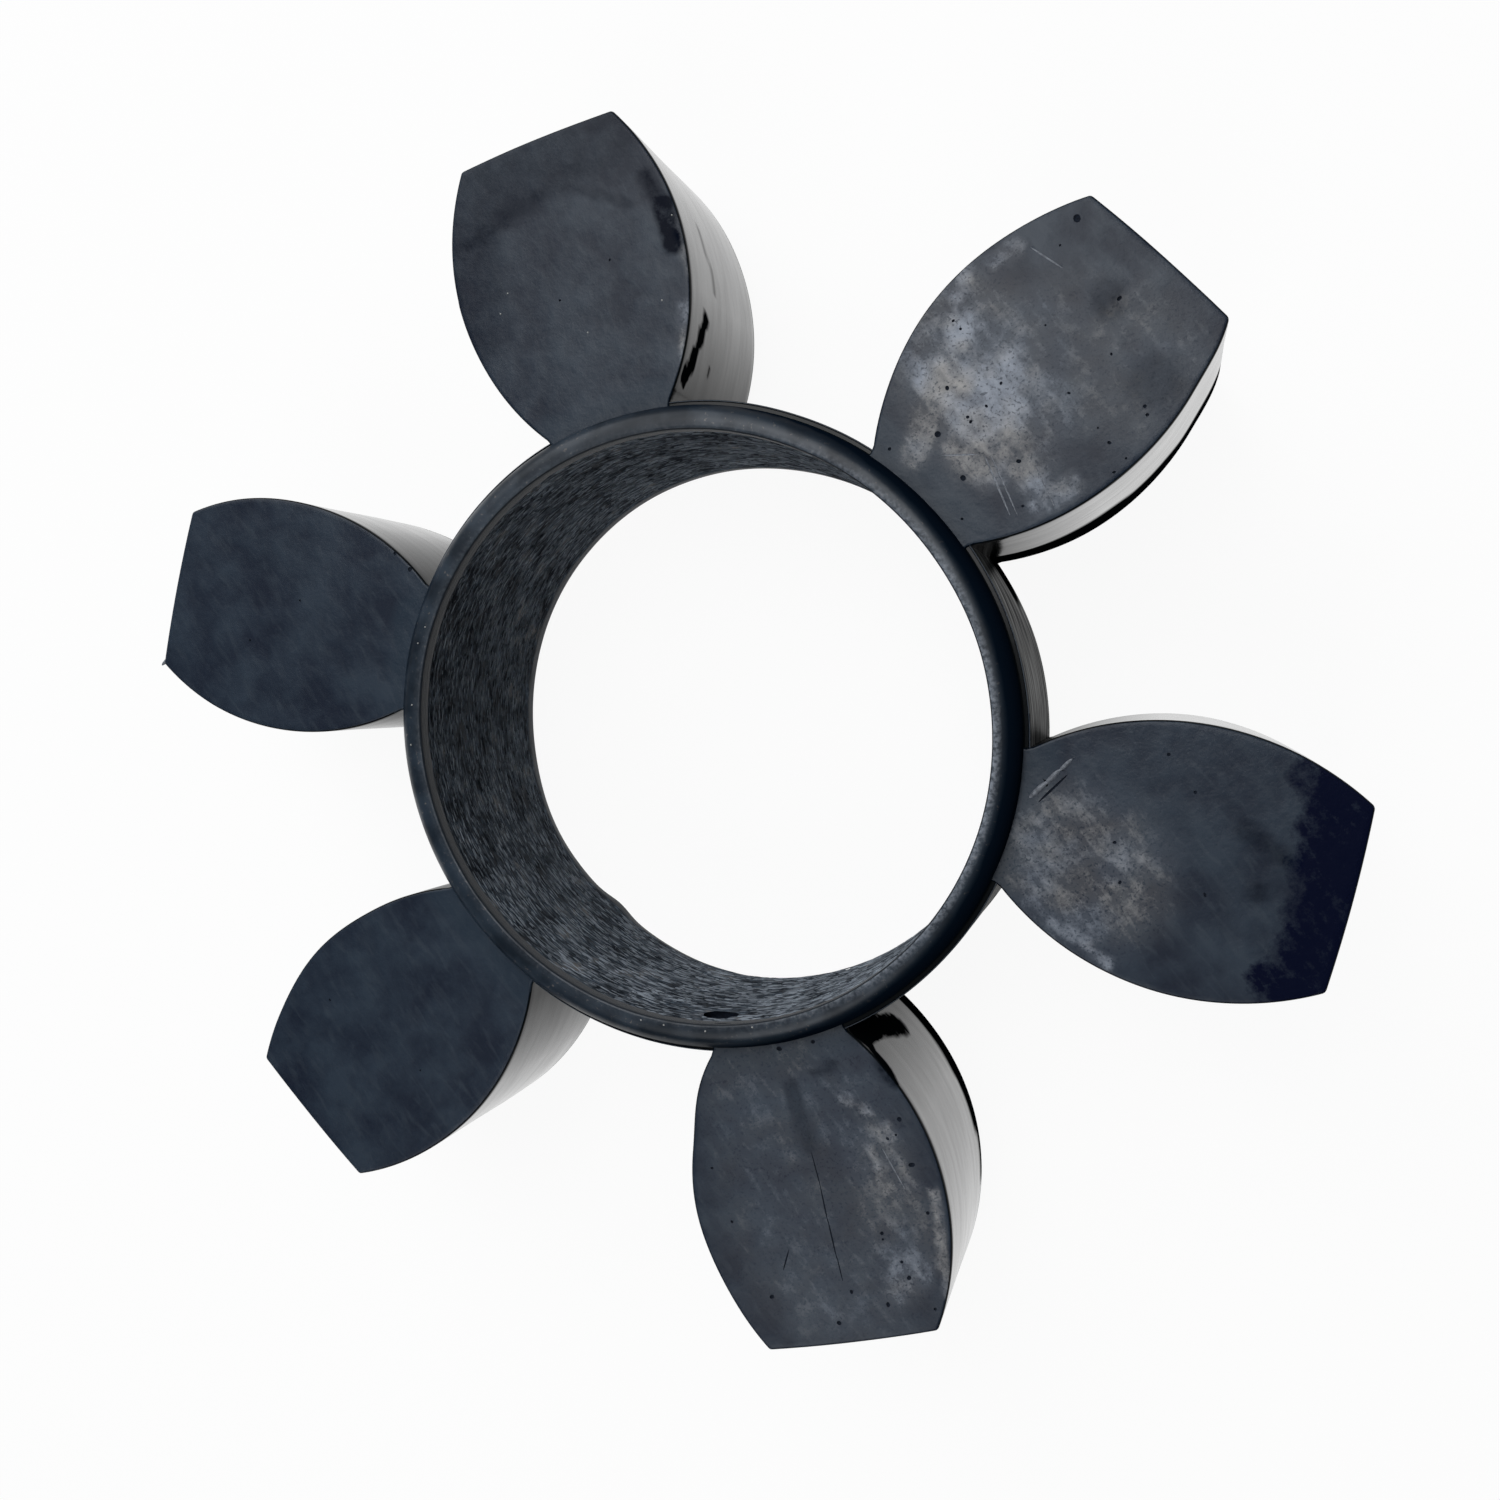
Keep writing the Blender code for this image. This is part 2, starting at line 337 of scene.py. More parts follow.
# Sizes in the bore's torn skin, whose flecks run round the bore
FLECK_SIZE = (1.3 * MM, 0.22 * MM)  # length and height
FLECK_PATCH_SIZE = 5 * MM
FLECK_DEPTH = 0.15 * MM
BAND_LEVELS = (19.3 * MM, 19.6 * MM)  # how far from the middle level the torn skin ends
BAND_WANDER = 1.6 * MM
MARK_DEPTH = 0.03 * MM

# How the insert's own faces are told apart, by their place and by how their normals point
BORE_REACH = 2.2 * MM  # outside the bore's radius
RING_REACH = 1.2 * MM  # outside the hub's radius
FACE_REACH_ON_RING, FACE_REACH = 0.22 * MM, 0.35 * MM  # above and below a pad face's level
COLLAR_REACH = 0.2 * MM  # below that level
INWARD, LEVEL, OUTWARD = -0.5, 0.8, 0.94

# The photograph's camera
CAMERA_PLACE = Vector((60.2, -9.59, 242.8)) * MM
CAMERA_AIM = Vector((-5.0, 1.65, 38.5)) * MM
CAMERA_UP = Vector((0.2603, 0.96506, -0.03002))
CAMERA_LENS = 37.72  # in mm, as the sensor
CAMERA_SENSOR = 36.0
CAMERA_NEAR = 0.01
CAMERA_SHIFT = (0.06, -0.01667)

# The white sheet's share of plain white where it is seen, and the room's light
FLOOR_SEEN = 0.93
FLOOR_MIRRORED = 1.0
DARK_SIDE_LIGHT = 0.04
WINDOW_LIGHT = 0.4
WINDOW_SIDE = (-0.3, 0.95, 0.0)
FLOOR_HALF = 1.5

# The lamps: name, place, the point it shines at, size and power
LAMPS = (
    ("key", (0.03, 0.3, 0.92), (0, 0, 0.02), 0.5, 3.4),
    ("fill", (-0.25, 0.85, 0.62), (0, 0, 0.0), 0.8, 4.5),
    ("front", (-0.25, -0.55, 0.8), (0, 0, 0.0), 0.5, 2.1),
)

# Kinds of node that the trees use often
NOISE = "ShaderNodeTexNoise"
RANGE = "ShaderNodeMapRange"
MIX = "ShaderNodeMix"
VECTOR = "ShaderNodeVectorMath"
SEPARATE = "ShaderNodeSeparateXYZ"
COMBINE = "ShaderNodeCombineXYZ"
ATTRIBUTE = "ShaderNodeAttribute"


def linear(hex_colour):
    """An sRGB hex colour as the linear values that Blender's sockets take."""
    values = [int(hex_colour[start : start + 2], 16) / 255 for start in (1, 3, 5)]
    return [v / 12.92 if v <= 0.04045 else ((v + 0.055) / 1.055) ** 2.4 for v in values] + [1.0]


def add(tree, kind, inputs=(), **settings):
    """Adds a node and returns its outputs. An input that is a socket is linked, and a value is set.

    A kind in capitals is the operation of a math node.
    """
    made = tree.nodes.new("ShaderNodeMath" if kind.isupper() else kind)
    if kind.isupper():
        made.operation = kind
    for name, value in settings.items():
        setattr(made, name, value)
    for key, value in inputs.items() if isinstance(inputs, dict) else enumerate(inputs):
        if isinstance(value, bpy.types.NodeSocket):
            tree.links.new(value, made.inputs[key])
        elif value is not None:
            made.inputs[key].default_value = value
    return made.outputs


def new_object(name, mesh):
    made = bpy.data.objects.new(name, mesh)
    bpy.context.scene.collection.objects.link(made)
    return made


def settle(obj):
    """Turns an object and its modifiers into a plain mesh."""
    bpy.context.view_layer.update()
    graph = bpy.context.evaluated_depsgraph_get()
    mesh = bpy.data.meshes.new_from_object(obj.evaluated_get(graph))
    old = obj.data
    obj.modifiers.clear()
    obj.data = mesh
    bpy.data.meshes.remove(old)
    return obj


def geometry_tree(name, sizes):
    """A geometry tree with a geometry input and named inputs for its sizes: the tree and its inputs."""
    tree = bpy.data.node_groups.new(name, "GeometryNodeTree")
    tree.interface.new_socket("Geometry", in_out="OUTPUT", socket_type="NodeSocketGeometry")
    tree.interface.new_socket("Geometry", in_out="INPUT", socket_type="NodeSocketGeometry")
    for label, value in sizes.items():
        kind = "NodeSocketInt" if isinstance(value, int) else "NodeSocketFloat"
        tree.interface.new_socket(label, in_out="INPUT", socket_type=kind)
    return tree, tree.nodes.new("NodeGroupInput").outputs


def end_tree(tree, geometry, material):
    """Ends a geometry tree in plain geometry of one material."""
    plain = add(tree, "GeometryNodeRealizeInstances", (geometry,))[0]
    dressed = add(tree, "GeometryNodeSetMaterial", {"Geometry": plain, "Material": material})[0]
    add(tree, "NodeGroupOutput", (dressed,))


def run_tree(obj, tree, sizes):
    """Runs a geometry tree on an object with these sizes and leaves a plain mesh."""
    modifier = obj.modifiers.new(tree.name, "NODES")
    modifier.node_group = tree
    for item in tree.interface.items_tree:
        if item.in_out == "INPUT" and item.name in sizes:
            modifier[item.identifier] = sizes[item.name]
    return settle(obj)


def join(body, other, operation):
    """Joins a mesh to the body or cuts it out, faces keeping their materials, and removes it."""
    modifier = body.modifiers.new(operation.lower(), "BOOLEAN")
    modifier.operation = operation
    modifier.solver = "MANIFOLD"
    modifier.material_mode = "TRANSFER"
    modifier.object = other
    settle(body)
    bpy.data.objects.remove(other, do_unlink=True)


# The ring's turned body


def quarter(centre, radius, start, steps):
    """Points of a quarter circle in the section's plane, turning clockwise from the angle start."""
    angles = [start - math.pi / 2 * step / steps for step in range(steps + 1)]
    return [(centre[0] + radius * math.cos(a), centre[1] + radius * math.sin(a)) for a in angles]


def run(start, end, steps):
    """Evenly spaced points after start, up to and with end."""
    return [
        tuple(a + (b - a) * step / steps for a, b in zip(start, end)) for step in range(1, steps + 1)
    ]


def upper_section():
    """Half the ring's section, from the middle of the bore over the rim and the flash to the hub's middle."""
    top, middle = RING_WIDTH, RING_WIDTH / 2
    ledge = top - COLLAR_RISE - HUB_SETBACK
    inner = (BORE_RADIUS + RIM_INNER_ROUND, top - RIM_INNER_ROUND)
    outer = (COLLAR_RADIUS - RIM_OUTER_ROUND, top - RIM_OUTER_ROUND)
    points = [(BORE_RADIUS, middle)]
    points += run(points[-1], (BORE_RADIUS, inner[1]), math.ceil(middle / BORE_ROW))[:-1]
    points += quarter(inner, RIM_INNER_ROUND, math.pi, INNER_ROUND_STEPS)
    shoulder = quarter(outer, RIM_OUTER_ROUND, math.pi / 2, OUTER_ROUND_STEPS)
    points += run(points[-1], shoulder[0], RIM_STEPS) + shoulder[1:]
    points += run(points[-1], (COLLAR_RADIUS, ledge + LEDGE_CHAMFER), COLLAR_STEPS)
    points += [
        (COLLAR_RADIUS + LEDGE_CHAMFER, ledge),
        (HUB_RADIUS - FLASH_WIDTH, ledge),
        (HUB_RADIUS - FLASH_WIDTH / 2, ledge + FLASH_HEIGHT),
        (HUB_RADIUS, ledge + FLASH_HEIGHT),
        (HUB_RADIUS + FLASH_WIDTH / 4, ledge),
        (HUB_RADIUS, ledge - HUB_CHAMFER),
    ]
    points += run(points[-1], (HUB_RADIUS, middle), HUB_STEPS)
    return points


def turned(name, section, columns, closed):
    """A section of radii and heights, closed or open, turned round the ring's axis in columns."""
    rows = len(section)
    points, faces = [], []
    for column in range(columns):
        angle = 2 * math.pi * column / columns
        x, y = math.cos(angle), math.sin(angle)
        points += [(radius * x, radius * y, height) for radius, height in section]
        here, there = column * rows, (column + 1) % columns * rows
        for row in range(rows if closed else rows - 1):
            after = (row + 1) % rows
            faces.append((here + row, here + after, there + after, there + row))
    mesh = bpy.data.meshes.new(name)
    mesh.from_pydata(points, [], faces)
    return new_object(name, mesh)


def turned_ring():
    upper = upper_section()
    lower = [(radius, RING_WIDTH - height) for radius, height in reversed(upper[1:-1])]
    return turned("ring", upper + lower, RING_COLUMNS, closed=True)


def tear_tree(material):
    """Tears the bore's wall back behind its smooth bands and frays it in ridges that run round it."""
    tree, given = geometry_tree("torn_bore", BORE_TEAR)
    place = add(tree, "GeometryNodeInputPosition")[0]
    x, y, z = add(tree, SEPARATE, (place,))
    flat = add(tree, COMBINE, (x, y))[0]
    radius = add(tree, VECTOR, (flat,), operation="LENGTH")["Value"]
    outward = add(tree, VECTOR, (flat,), operation="NORMALIZE")[0]
    from_top = add(tree, "SUBTRACT", (RING_WIDTH, z))[0]
    depth = add(tree, "MINIMUM", (z, from_top))[0]
    wander = add(tree, NOISE, {"Vector": place, "Scale": 1 / TEAR_WANDER_SIZE, "Detail": 4.0})[0]
    centred = add(tree, "SUBTRACT", (wander, 0.5))[0]
    edge = add(tree, "MULTIPLY_ADD", (centred, given["Band wander"], given["Band"]))[0]
    inner = add(tree, "ADD", (edge, TEAR_EDGE))[0]
    torn = add(tree, RANGE, (depth, edge, inner), interpolation_type="SMOOTHSTEP")[0]
    along, across = given["Strand length"], given["Strand height"]
    run_x = add(tree, "DIVIDE", (x, along))[0]
    run_y = add(tree, "DIVIDE", (y, along))[0]
    rise = add(tree, "DIVIDE", (z, across))[0]
    combed = add(tree, COMBINE, (run_x, run_y, rise))[0]
    ridges = add(tree, NOISE, {"Vector": combed, "Scale": 1.0, "Detail": 3.0})[0]
    patches = add(tree, NOISE, {"Vector": place, "Scale": 1 / TEAR_PATCH_SIZE})[0]
    ridge = add(tree, "SUBTRACT", (ridges, 0.5))[0]
    fray = add(tree, "MULTIPLY", (ridge, given["Fray"]))[0]
    patch = add(tree, "ADD", (patches, 0.5))[0]
    recess = add(tree, "MULTIPLY_ADD", (patch, given["Recess"], fray))[0]
    on_wall = add(tree, "LESS_THAN", (radius, BORE_RADIUS + ON_WALL))[0]
    share = add(tree, "MULTIPLY", (torn, on_wall))[0]
    shift = add(tree, "MULTIPLY", (recess, share))[0]
    offset = add(tree, VECTOR, {0: outward, "Scale": shift}, operation="SCALE")[0]
    moved = add(tree, "GeometryNodeSetPosition", {"Geometry": given["Geometry"], "Offset": offset})[0]
    end_tree(tree, moved, material)
    return tree


def strand_tree(material):
    """Loose torn strands on the bore's wall: thin spindles along its round, each with its own shade."""
    tree, given = geometry_tree("torn_strands", STRANDS)
    spots = add(
        tree,
        "GeometryNodeDistributePointsOnFaces",
        {"Mesh": given["Geometry"], "Density": given["Density"], "Seed": given["Seed"]},
    )
    place = add(tree, "GeometryNodeInputPosition")[0]
    x, y, _ = add(tree, SEPARATE, (place,))
    back = add(tree, "MULTIPLY", (y, -1.0))[0]
    flat_run = add(tree, COMBINE, (back, x))[0]
    run_way = add(tree, VECTOR, (flat_run,), operation="NORMALIZE")[0]
    seeded = {"Seed": given["Seed"]}
    tilt = add(tree, "FunctionNodeRandomValue", {2: -1.0, 3: 1.0} | seeded, data_type="FLOAT")[1]
    lift = add(tree, "MULTIPLY", (tilt, given["Tilt"]))[0]
    lean = add(tree, COMBINE, {2: lift})[0]
    way = add(tree, VECTOR, (run_way, lean), operation="ADD")[0]
    along = add(tree, "FunctionNodeAlignRotationToVector", {"Vector": way}, axis="Z")[0]
    hole = add(tree, VECTOR, (place, TEAR_MIDDLE), operation="SUBTRACT")[0]
    shrunk = add(tree, VECTOR, (hole, TEAR_REACH), operation="DIVIDE")[0]
    apart = add(tree, VECTOR, (shrunk,), operation="LENGTH")["Value"]
    torn_out = add(tree, "LESS_THAN", (apart, 1.0))[0]
    left = add(tree, "GeometryNodeDeleteGeometry", {"Geometry": spots["Points"], "Selection": torn_out})[0]
    normal = spots["Normal"]
    turn = add(
        tree,
        "FunctionNodeAlignRotationToVector",
        {"Rotation": along, "Vector": normal},
        axis="X",
        pivot_axis="Z",
    )[0]
    shares = dict(enumerate(STRAND_SPREAD))
    spread = add(tree, "FunctionNodeRandomValue", shares | seeded, data_type="FLOAT_VECTOR")[0]
    halves = [given[label] for label in ("Half height", "Half width", "Half length")]
    size = add(tree, COMBINE, halves)[0]
    scale = add(tree, VECTOR, (spread, size), operation="MULTIPLY")[0]
    spindle = add(tree, "GeometryNodeMeshUVSphere", STRAND_CELLS)[0]
    strands = add(
        tree,
        "GeometryNodeInstanceOnPoints",
        {"Points": left, "Instance": spindle, "Rotation": turn, "Scale": scale},
    )[0]
    shade = add(tree, "FunctionNodeRandomValue", {2: 0.0, 3: 1.0, "Seed": SHADE_SEED}, data_type="FLOAT")[1]
    shaded = add(
        tree,
        "GeometryNodeStoreNamedAttribute",
        {"Geometry": strands, "Name": "shade", "Value": shade},
        data_type="FLOAT",
        domain="INSTANCE",
    )[0]
    end_tree(tree, shaded, material)
    return tree


def bore_strands(material):
    """The strands, spread over a plain sleeve of the torn wall and set with the ring."""
    low, high = BORE_TEAR["Band"] + SLEEVE_MARGIN, RING_WIDTH - BORE_TEAR["Band"] - SLEEVE_MARGIN
    radius = BORE_RADIUS + SLEEVE_SETBACK
    sleeve = turned("bore_strands", [(radius, low), (radius, high)], SLEEVE_COLUMNS, closed=False)
    strands = run_tree(sleeve, strand_tree(material), STRANDS)
    for vertex in strands.data.vertices:
        vertex.co = settled_place(vertex.co)
    strands.data.shade_smooth()
    return strands


# The pads


def flank_width(tree, offset, reach, bulge, half_belly):
    """Half the pad's width at an offset from its belly, on the arc that narrows by bulge over reach."""
    reach_squared = add(tree, "POWER", (reach, 2.0))[0]
    bulge_squared = add(tree, "POWER", (bulge, 2.0))[0]
    squares = add(tree, "ADD", (reach_squared, bulge_squared))[0]
    double = add(tree, "MULTIPLY", (bulge, 2.0))[0]
    radius = add(tree, "DIVIDE", (squares, double))[0]
    radius_squared = add(tree, "POWER", (radius, 2.0))[0]
    offset_squared = add(tree, "MULTIPLY", (offset, offset))[0]
    under = add(tree, "SUBTRACT", (radius_squared, offset_squared))[0]
    height = add(tree, "SQRT", (under,))[0]
    middle = add(tree, "SUBTRACT", (half_belly, radius))[0]
    return add(tree, "ADD", (middle, height))[0]


PAD_SIZES = {
    "Thickness": PAD_THICKNESS,
    "Lift": COLLAR_RISE,
    "Ring middle": RING_MIDDLE,
    "Root radius": math.sqrt(HUB_RADIUS**2 - (ROOT_WIDTH / 2) ** 2),
    "Root width": ROOT_WIDTH,
    "Belly radius": BELLY_RADIUS,
    "Belly width": BELLY_WIDTH,
    "Tip radius": TIP_RADIUS,
    "Tip width": TIP_WIDTH,
    "Tip crown": TIP_CROWN,
    "Cells long": math.ceil((TIP_RADIUS - RING_MIDDLE) / PAD_CELL) + 1,
    "Cells wide": math.ceil(BELLY_WIDTH / PAD_CELL) + 1,
    "Cells high": math.ceil(PAD_THICKNESS / PAD_ROW) + 1,
}


def pad_tree(material):
    """One barrel pad of even cells, set at each seat and turned by the seat's heading."""
    tree, given = geometry_tree("barrel_pads", PAD_SIZES)
    length = add(tree, "SUBTRACT", (given["Tip radius"], given["Ring middle"]))[0]
    block = add(
        tree,
        "GeometryNodeMeshCube",
        ((1.0, 1.0, 1.0), given["Cells long"], given["Cells wide"], given["Cells high"]),
    )[0]
    place = add(tree, "GeometryNodeInputPosition")[0]
    x, y, z = add(tree, SEPARATE, (place,))
    share = add(tree, "ADD", (x, 0.5))[0]
    out = add(tree, "MULTIPLY_ADD", (share, length, given["Ring middle"]))[0]
    half_belly = add(tree, "DIVIDE", (given["Belly width"], 2.0))[0]
    offset = add(tree, "SUBTRACT", (out, given["Belly radius"]))[0]
    away = add(tree, "ABSOLUTE", (offset,))[0]
    widths = []
    for end_radius, end_width in (("Root radius", "Root width"), ("Tip radius", "Tip width")):
        span = add(tree, "SUBTRACT", (given[end_radius], given["Belly radius"]))[0]
        reach = add(tree, "ABSOLUTE", (span,))[0]
        half_end = add(tree, "DIVIDE", (given[end_width], 2.0))[0]
        bulge = add(tree, "SUBTRACT", (half_belly, half_end))[0]
        inside = add(tree, "MINIMUM", (away, reach))[0]
        widths.append(flank_width(tree, inside, reach, bulge, half_belly))
    outer = add(tree, "GREATER_THAN", (offset, 0.0))[0]
    half = add(tree, MIX, {0: outer, 2: widths[0], 3: widths[1]})[0]
    side = add(tree, "MULTIPLY", (y, 2.0))[0]
    squared = add(tree, "MULTIPLY", (side, side))[0]
    rest = add(tree, "SUBTRACT", (1.0, squared))[0]
    crown = add(tree, "MULTIPLY", (given["Tip crown"], rest))[0]
    along = add(tree, "MULTIPLY_ADD", (crown, share, out))[0]
    across = add(tree, "MULTIPLY", (side, half))[0]
    level = add(tree, "ADD", (z, 0.5))[0]
    up = add(tree, "MULTIPLY_ADD", (level, given["Thickness"], given["Lift"]))[0]
    barrel = add(tree, COMBINE, (along, across, up))[0]
    pad = add(tree, "GeometryNodeSetPosition", {"Geometry": block, "Position": barrel})[0]
    heading = add(tree, "GeometryNodeInputNamedAttribute", ("heading",), data_type="FLOAT")[0]
    turn = add(tree, COMBINE, {2: heading})[0]
    pads = add(
        tree,
        "GeometryNodeInstanceOnPoints",
        {"Points": given["Geometry"], "Instance": pad, "Rotation": turn},
    )[0]
    end_tree(tree, pads, material)
    return tree


def pad_heading(index):
    return FIRST_PAD_ANGLE - 2 * math.pi * index / len(PAD_LEANS) + math.radians(PAD_LEANS[index])


def trim_flanks(mesh):
    """Moves the pads' flanks in or out where they depart from the even barrel."""
    for index, side, radius, reach, outward in FLANK_TRIMS:
        along = Vector((math.cos(pad_heading(index)), math.sin(pad_heading(index)), 0))
        across = Vector((-along.y, along.x, 0)) * side
        for vertex in mesh.vertices:
            away, off = vertex.co.dot(along), vertex.co.dot(across)
            if away > 0 and 0 < off < away and abs(away - radius) < reach:
                swell = math.cos((away - radius) / reach * math.pi / 2) ** 2
                vertex.co += across * outward * swell * min(1.0, off / TRIM_FADE)


def pad_row(material):
    """The six pads, from seats that all lie on the ring's axis and differ in their heading."""
    mesh = bpy.data.meshes.new("pad_seats")
    mesh.from_pydata([(0, 0, 0)] * len(PAD_LEANS), [], [])
    headings = mesh.attributes.new("heading", "FLOAT", "POINT")
    for index in range(len(PAD_LEANS)):
        headings.data[index].value = pad_heading(index)
    pads = run_tree(new_object("pads", mesh), pad_tree(material), PAD_SIZES)
    trim_flanks(pads.data)
    bevel = pads.modifiers.new("edges", "BEVEL")
    bevel.width = PAD_EDGE
    bevel.segments = PAD_EDGE_STEPS
    bevel.limit_method = "ANGLE"
    bevel.angle_limit = PAD_EDGE_ANGLE
    return settle(pads)


# Pits, cuts and raised marks


def mark_tree(material):
    """A rounded bead at each point, stretched by the point's reach and turned by its heading."""
    tree, given = geometry_tree("surface_marks", BEAD_CELLS)
    bead = add(tree, "GeometryNodeMeshUVSphere", (given["Segments"], given["Rings"], 1.0))[0]
    heading = add(tree, "GeometryNodeInputNamedAttribute", ("heading",), data_type="FLOAT")[0]
    reach = add(tree, "GeometryNodeInputNamedAttribute", ("reach",), data_type="FLOAT_VECTOR")[0]
    turn = add(tree, COMBINE, {2: heading})[0]
    beads = add(
        tree,
        "GeometryNodeInstanceOnPoints",
        {"Points": given["Geometry"], "Instance": bead, "Rotation": turn, "Scale": reach},
    )[0]
    end_tree(tree, beads, material)
    return tree


def beads(name, rows, material):
    """A mesh of beads, from rows of place, heading in degrees, and half length, width and height."""
    mesh = bpy.data.meshes.new(name)
    mesh.from_pydata([place for place, _, _ in rows], [], [])
    headings = mesh.attributes.new("heading", "FLOAT", "POINT")
    reaches = mesh.attributes.new("reach", "FLOAT_VECTOR", "POINT")
    for index, (_, heading, reach) in enumerate(rows):
        headings.data[index].value = math.radians(heading)
        reaches.data[index].vector = reach
    return run_tree(new_object(name, mesh), mark_tree(material), BEAD_CELLS)


def line_rows(lines, depth):
    """Long thin beads that each cut a line into the upper faces."""
    rows = []
    for x, y, to_x, to_y, half_width in lines:
        place = ((x + to_x) / 2 * MM, (y + to_y) / 2 * MM, FACE * MM)
        heading = math.degrees(math.atan2(to_y - y, to_x - x))
        half_length = math.hypot(to_x - x, to_y - y) / 2 * MM
        rows.append((place, heading, (half_length, half_width * MM, depth)))
    return rows


def free_rows(marks):
    """Rows of beads from marks in mm and degrees."""
    return [
        ((x * MM, y * MM, z * MM), heading, (length * MM, width * MM, height * MM))
        for x, y, z, heading, length, width, height in marks
    ]


def pit_rows():
    """Shallow oval pits, no two neighbours alike."""
    rows = []
    for index, (x, y, radius) in enumerate(PITS):
        length, width = radius * (0.75 + 0.06 * (index % 6)), radius * (0.9 - 0.06 * (index % 5))
        rows.append(((x * MM, y * MM, FACE * MM), 53 * index, (length * MM, width * MM, PIT_DEPTH)))
    return rows


def mark(insert, skins):
    """Cuts and raises the small marks. Lines that cross or touch are cut one after the other."""
    dark, pale = skins["dark_pit_rubber_and_shade"], skins["pale_scratch_and_highlight_rubber"]
    cuts, scratches = line_rows(CUTS, CUT_DEPTH), line_rows(SCRATCHES, SCRATCH_DEPTH)
    specks = [((x * MM, y * MM, z * MM), 0, (SPECK_RADIUS,) * 3) for x, y, z in SPECKS]
    for name, rows, material, operation in (
        ("pits", pit_rows(), dark, "DIFFERENCE"),
        ("bore_tears", free_rows(BORE_TEARS), dark, "DIFFERENCE"),
        ("cuts_a", cuts[::2], dark, "DIFFERENCE"),
        ("cuts_b", cuts[1::2], dark, "DIFFERENCE"),
        ("scratches_a", scratches[::2], pale, "DIFFERENCE"),
        ("scratches_b", scratches[1::2], pale, "DIFFERENCE"),
        # The raised scars are painted pale as a highlight along their ridges
        ("scars", free_rows(SCARS), pale, "UNION"),
        ("specks", specks, skins["pale_dust"], "UNION"),
    ):
        join(insert, beads(name, rows, material), operation)


# The insert as it lies


def oval_set(x, y):
    """Where a point goes as the ring's round wall turns oval without stretching, pads leaning with it."""
    angle, radius = math.atan2(y, x), math.hypot(x, y)
    phase = 2 * (angle - OVAL_ANGLE)
    outward = OVAL_RISE * math.cos(phase)
    lean = 1.5 * OVAL_RISE / RING_MIDDLE * math.sin(phase)
    along = lean * (radius - RING_MIDDLE) - OVAL_RISE / 2 * math.sin(phase)
    new_radius = radius + outward
    return (
        new_radius * math.cos(angle) - along * math.sin(angle),
        new_radius * math.sin(angle) + along * math.cos(angle),
    )


def settled_place(point):
    """Where a point of the even moulding lies on the worn and slightly wavy one."""
    radius, angle = math.hypot(point.x, point.y), math.degrees(math.atan2(point.y, point.x))
    x, y = point.x, point.y
    if radius < COLLAR_RADIUS and point.z < FAR_RIM_HEIGHT:
        inward = min(1.0, (COLLAR_RADIUS - radius) / (COLLAR_RADIUS - BORE_RADIUS))
        fade = (1 - point.z / FAR_RIM_HEIGHT) ** 2 * inward
        for middle, reach, outward in FAR_RIM_WEAR:
            turn = (angle - middle + 180) % 360 - 180
            radius += outward * math.exp(-((turn / reach) ** 2)) * fade
        x, y = radius * math.cos(math.radians(angle)), radius * math.sin(math.radians(angle))
    x, y = oval_set(x, y)
    wave = Vector([noise.noise(point / WAVER_LENGTH + shift) for shift in WAVER_SHIFTS]) * WAVER
    inside = min(1.0, min(point.z, RING_WIDTH - point.z) / COLLAR_RISE)
    return Vector((x + wave.x, y + wave.y, point.z + wave.z * inside))


def moulded_insert(skins):
    """Ring and pads as one closed mesh with its marks."""
    satin = skins["satin_moulded_rubber"]
    insert = run_tree(turned_ring(), tear_tree(satin), BORE_TEAR)
    join(insert, pad_row(satin), "UNION")
    for vertex in insert.data.vertices:
        vertex.co = settled_place(vertex.co)
    mark(insert, skins)
    insert.name = "moulded_insert"
    insert.data.shade_smooth()
    insert.data.set_sharp_from_angle(angle=SHARP_ANGLE)
    return insert


# Attributes that the materials read


def painted(places, marks):
    """How strongly the marks cover each place, from 0 to 1, fading round each mark's edge."""
    cover = np.zeros(len(places))
    for x, y, z, to_x, to_y, to_z, radius, strength in marks:
        start, run_way = np.array((x, y, z)), np.array((to_x - x, to_y - y, to_z - z))
        share = np.clip((places - start) @ run_way / max(run_way @ run_way, 1e-9), 0, 1)
        distance = np.linalg.norm(places - start - share[:, None] * run_way, axis=1)
        fade = np.clip((FADE_END - distance / radius) / FADE_REACH, 0, 1)
        cover = np.maximum(cover, strength * fade * fade * (3 - 2 * fade))
    return cover


def paint(mesh):
    """Writes the marks' cover, and each place's share of the way from the bore to the rim's outside."""
    places = np.empty(len(mesh.vertices) * 3)
    mesh.vertices.foreach_get("co", places)
    places = places.reshape(-1, 3) / MM
    for name, marks in (("bloom", BLOOM), ("grease_and_shade", FACE_GREASE_AND_WALL_SHADE), ("tip_reflection", PAINTED_TIP_REFLECTION)):
        mesh.attributes.new(name, "FLOAT", "POINT").data.foreach_set("value", painted(places, marks))
    angles = np.arctan2(places[:, 1], places[:, 0])
    even = np.hypot(places[:, 0], places[:, 1]) * MM - OVAL_RISE * np.cos(2 * (angles - OVAL_ANGLE))
    rim = (even - BORE_RADIUS) / (COLLAR_RADIUS - BORE_RADIUS)
    mesh.attributes.new("rim", "FLOAT", "POINT").data.foreach_set("value", np.clip(rim, 0, 1))


# Materials


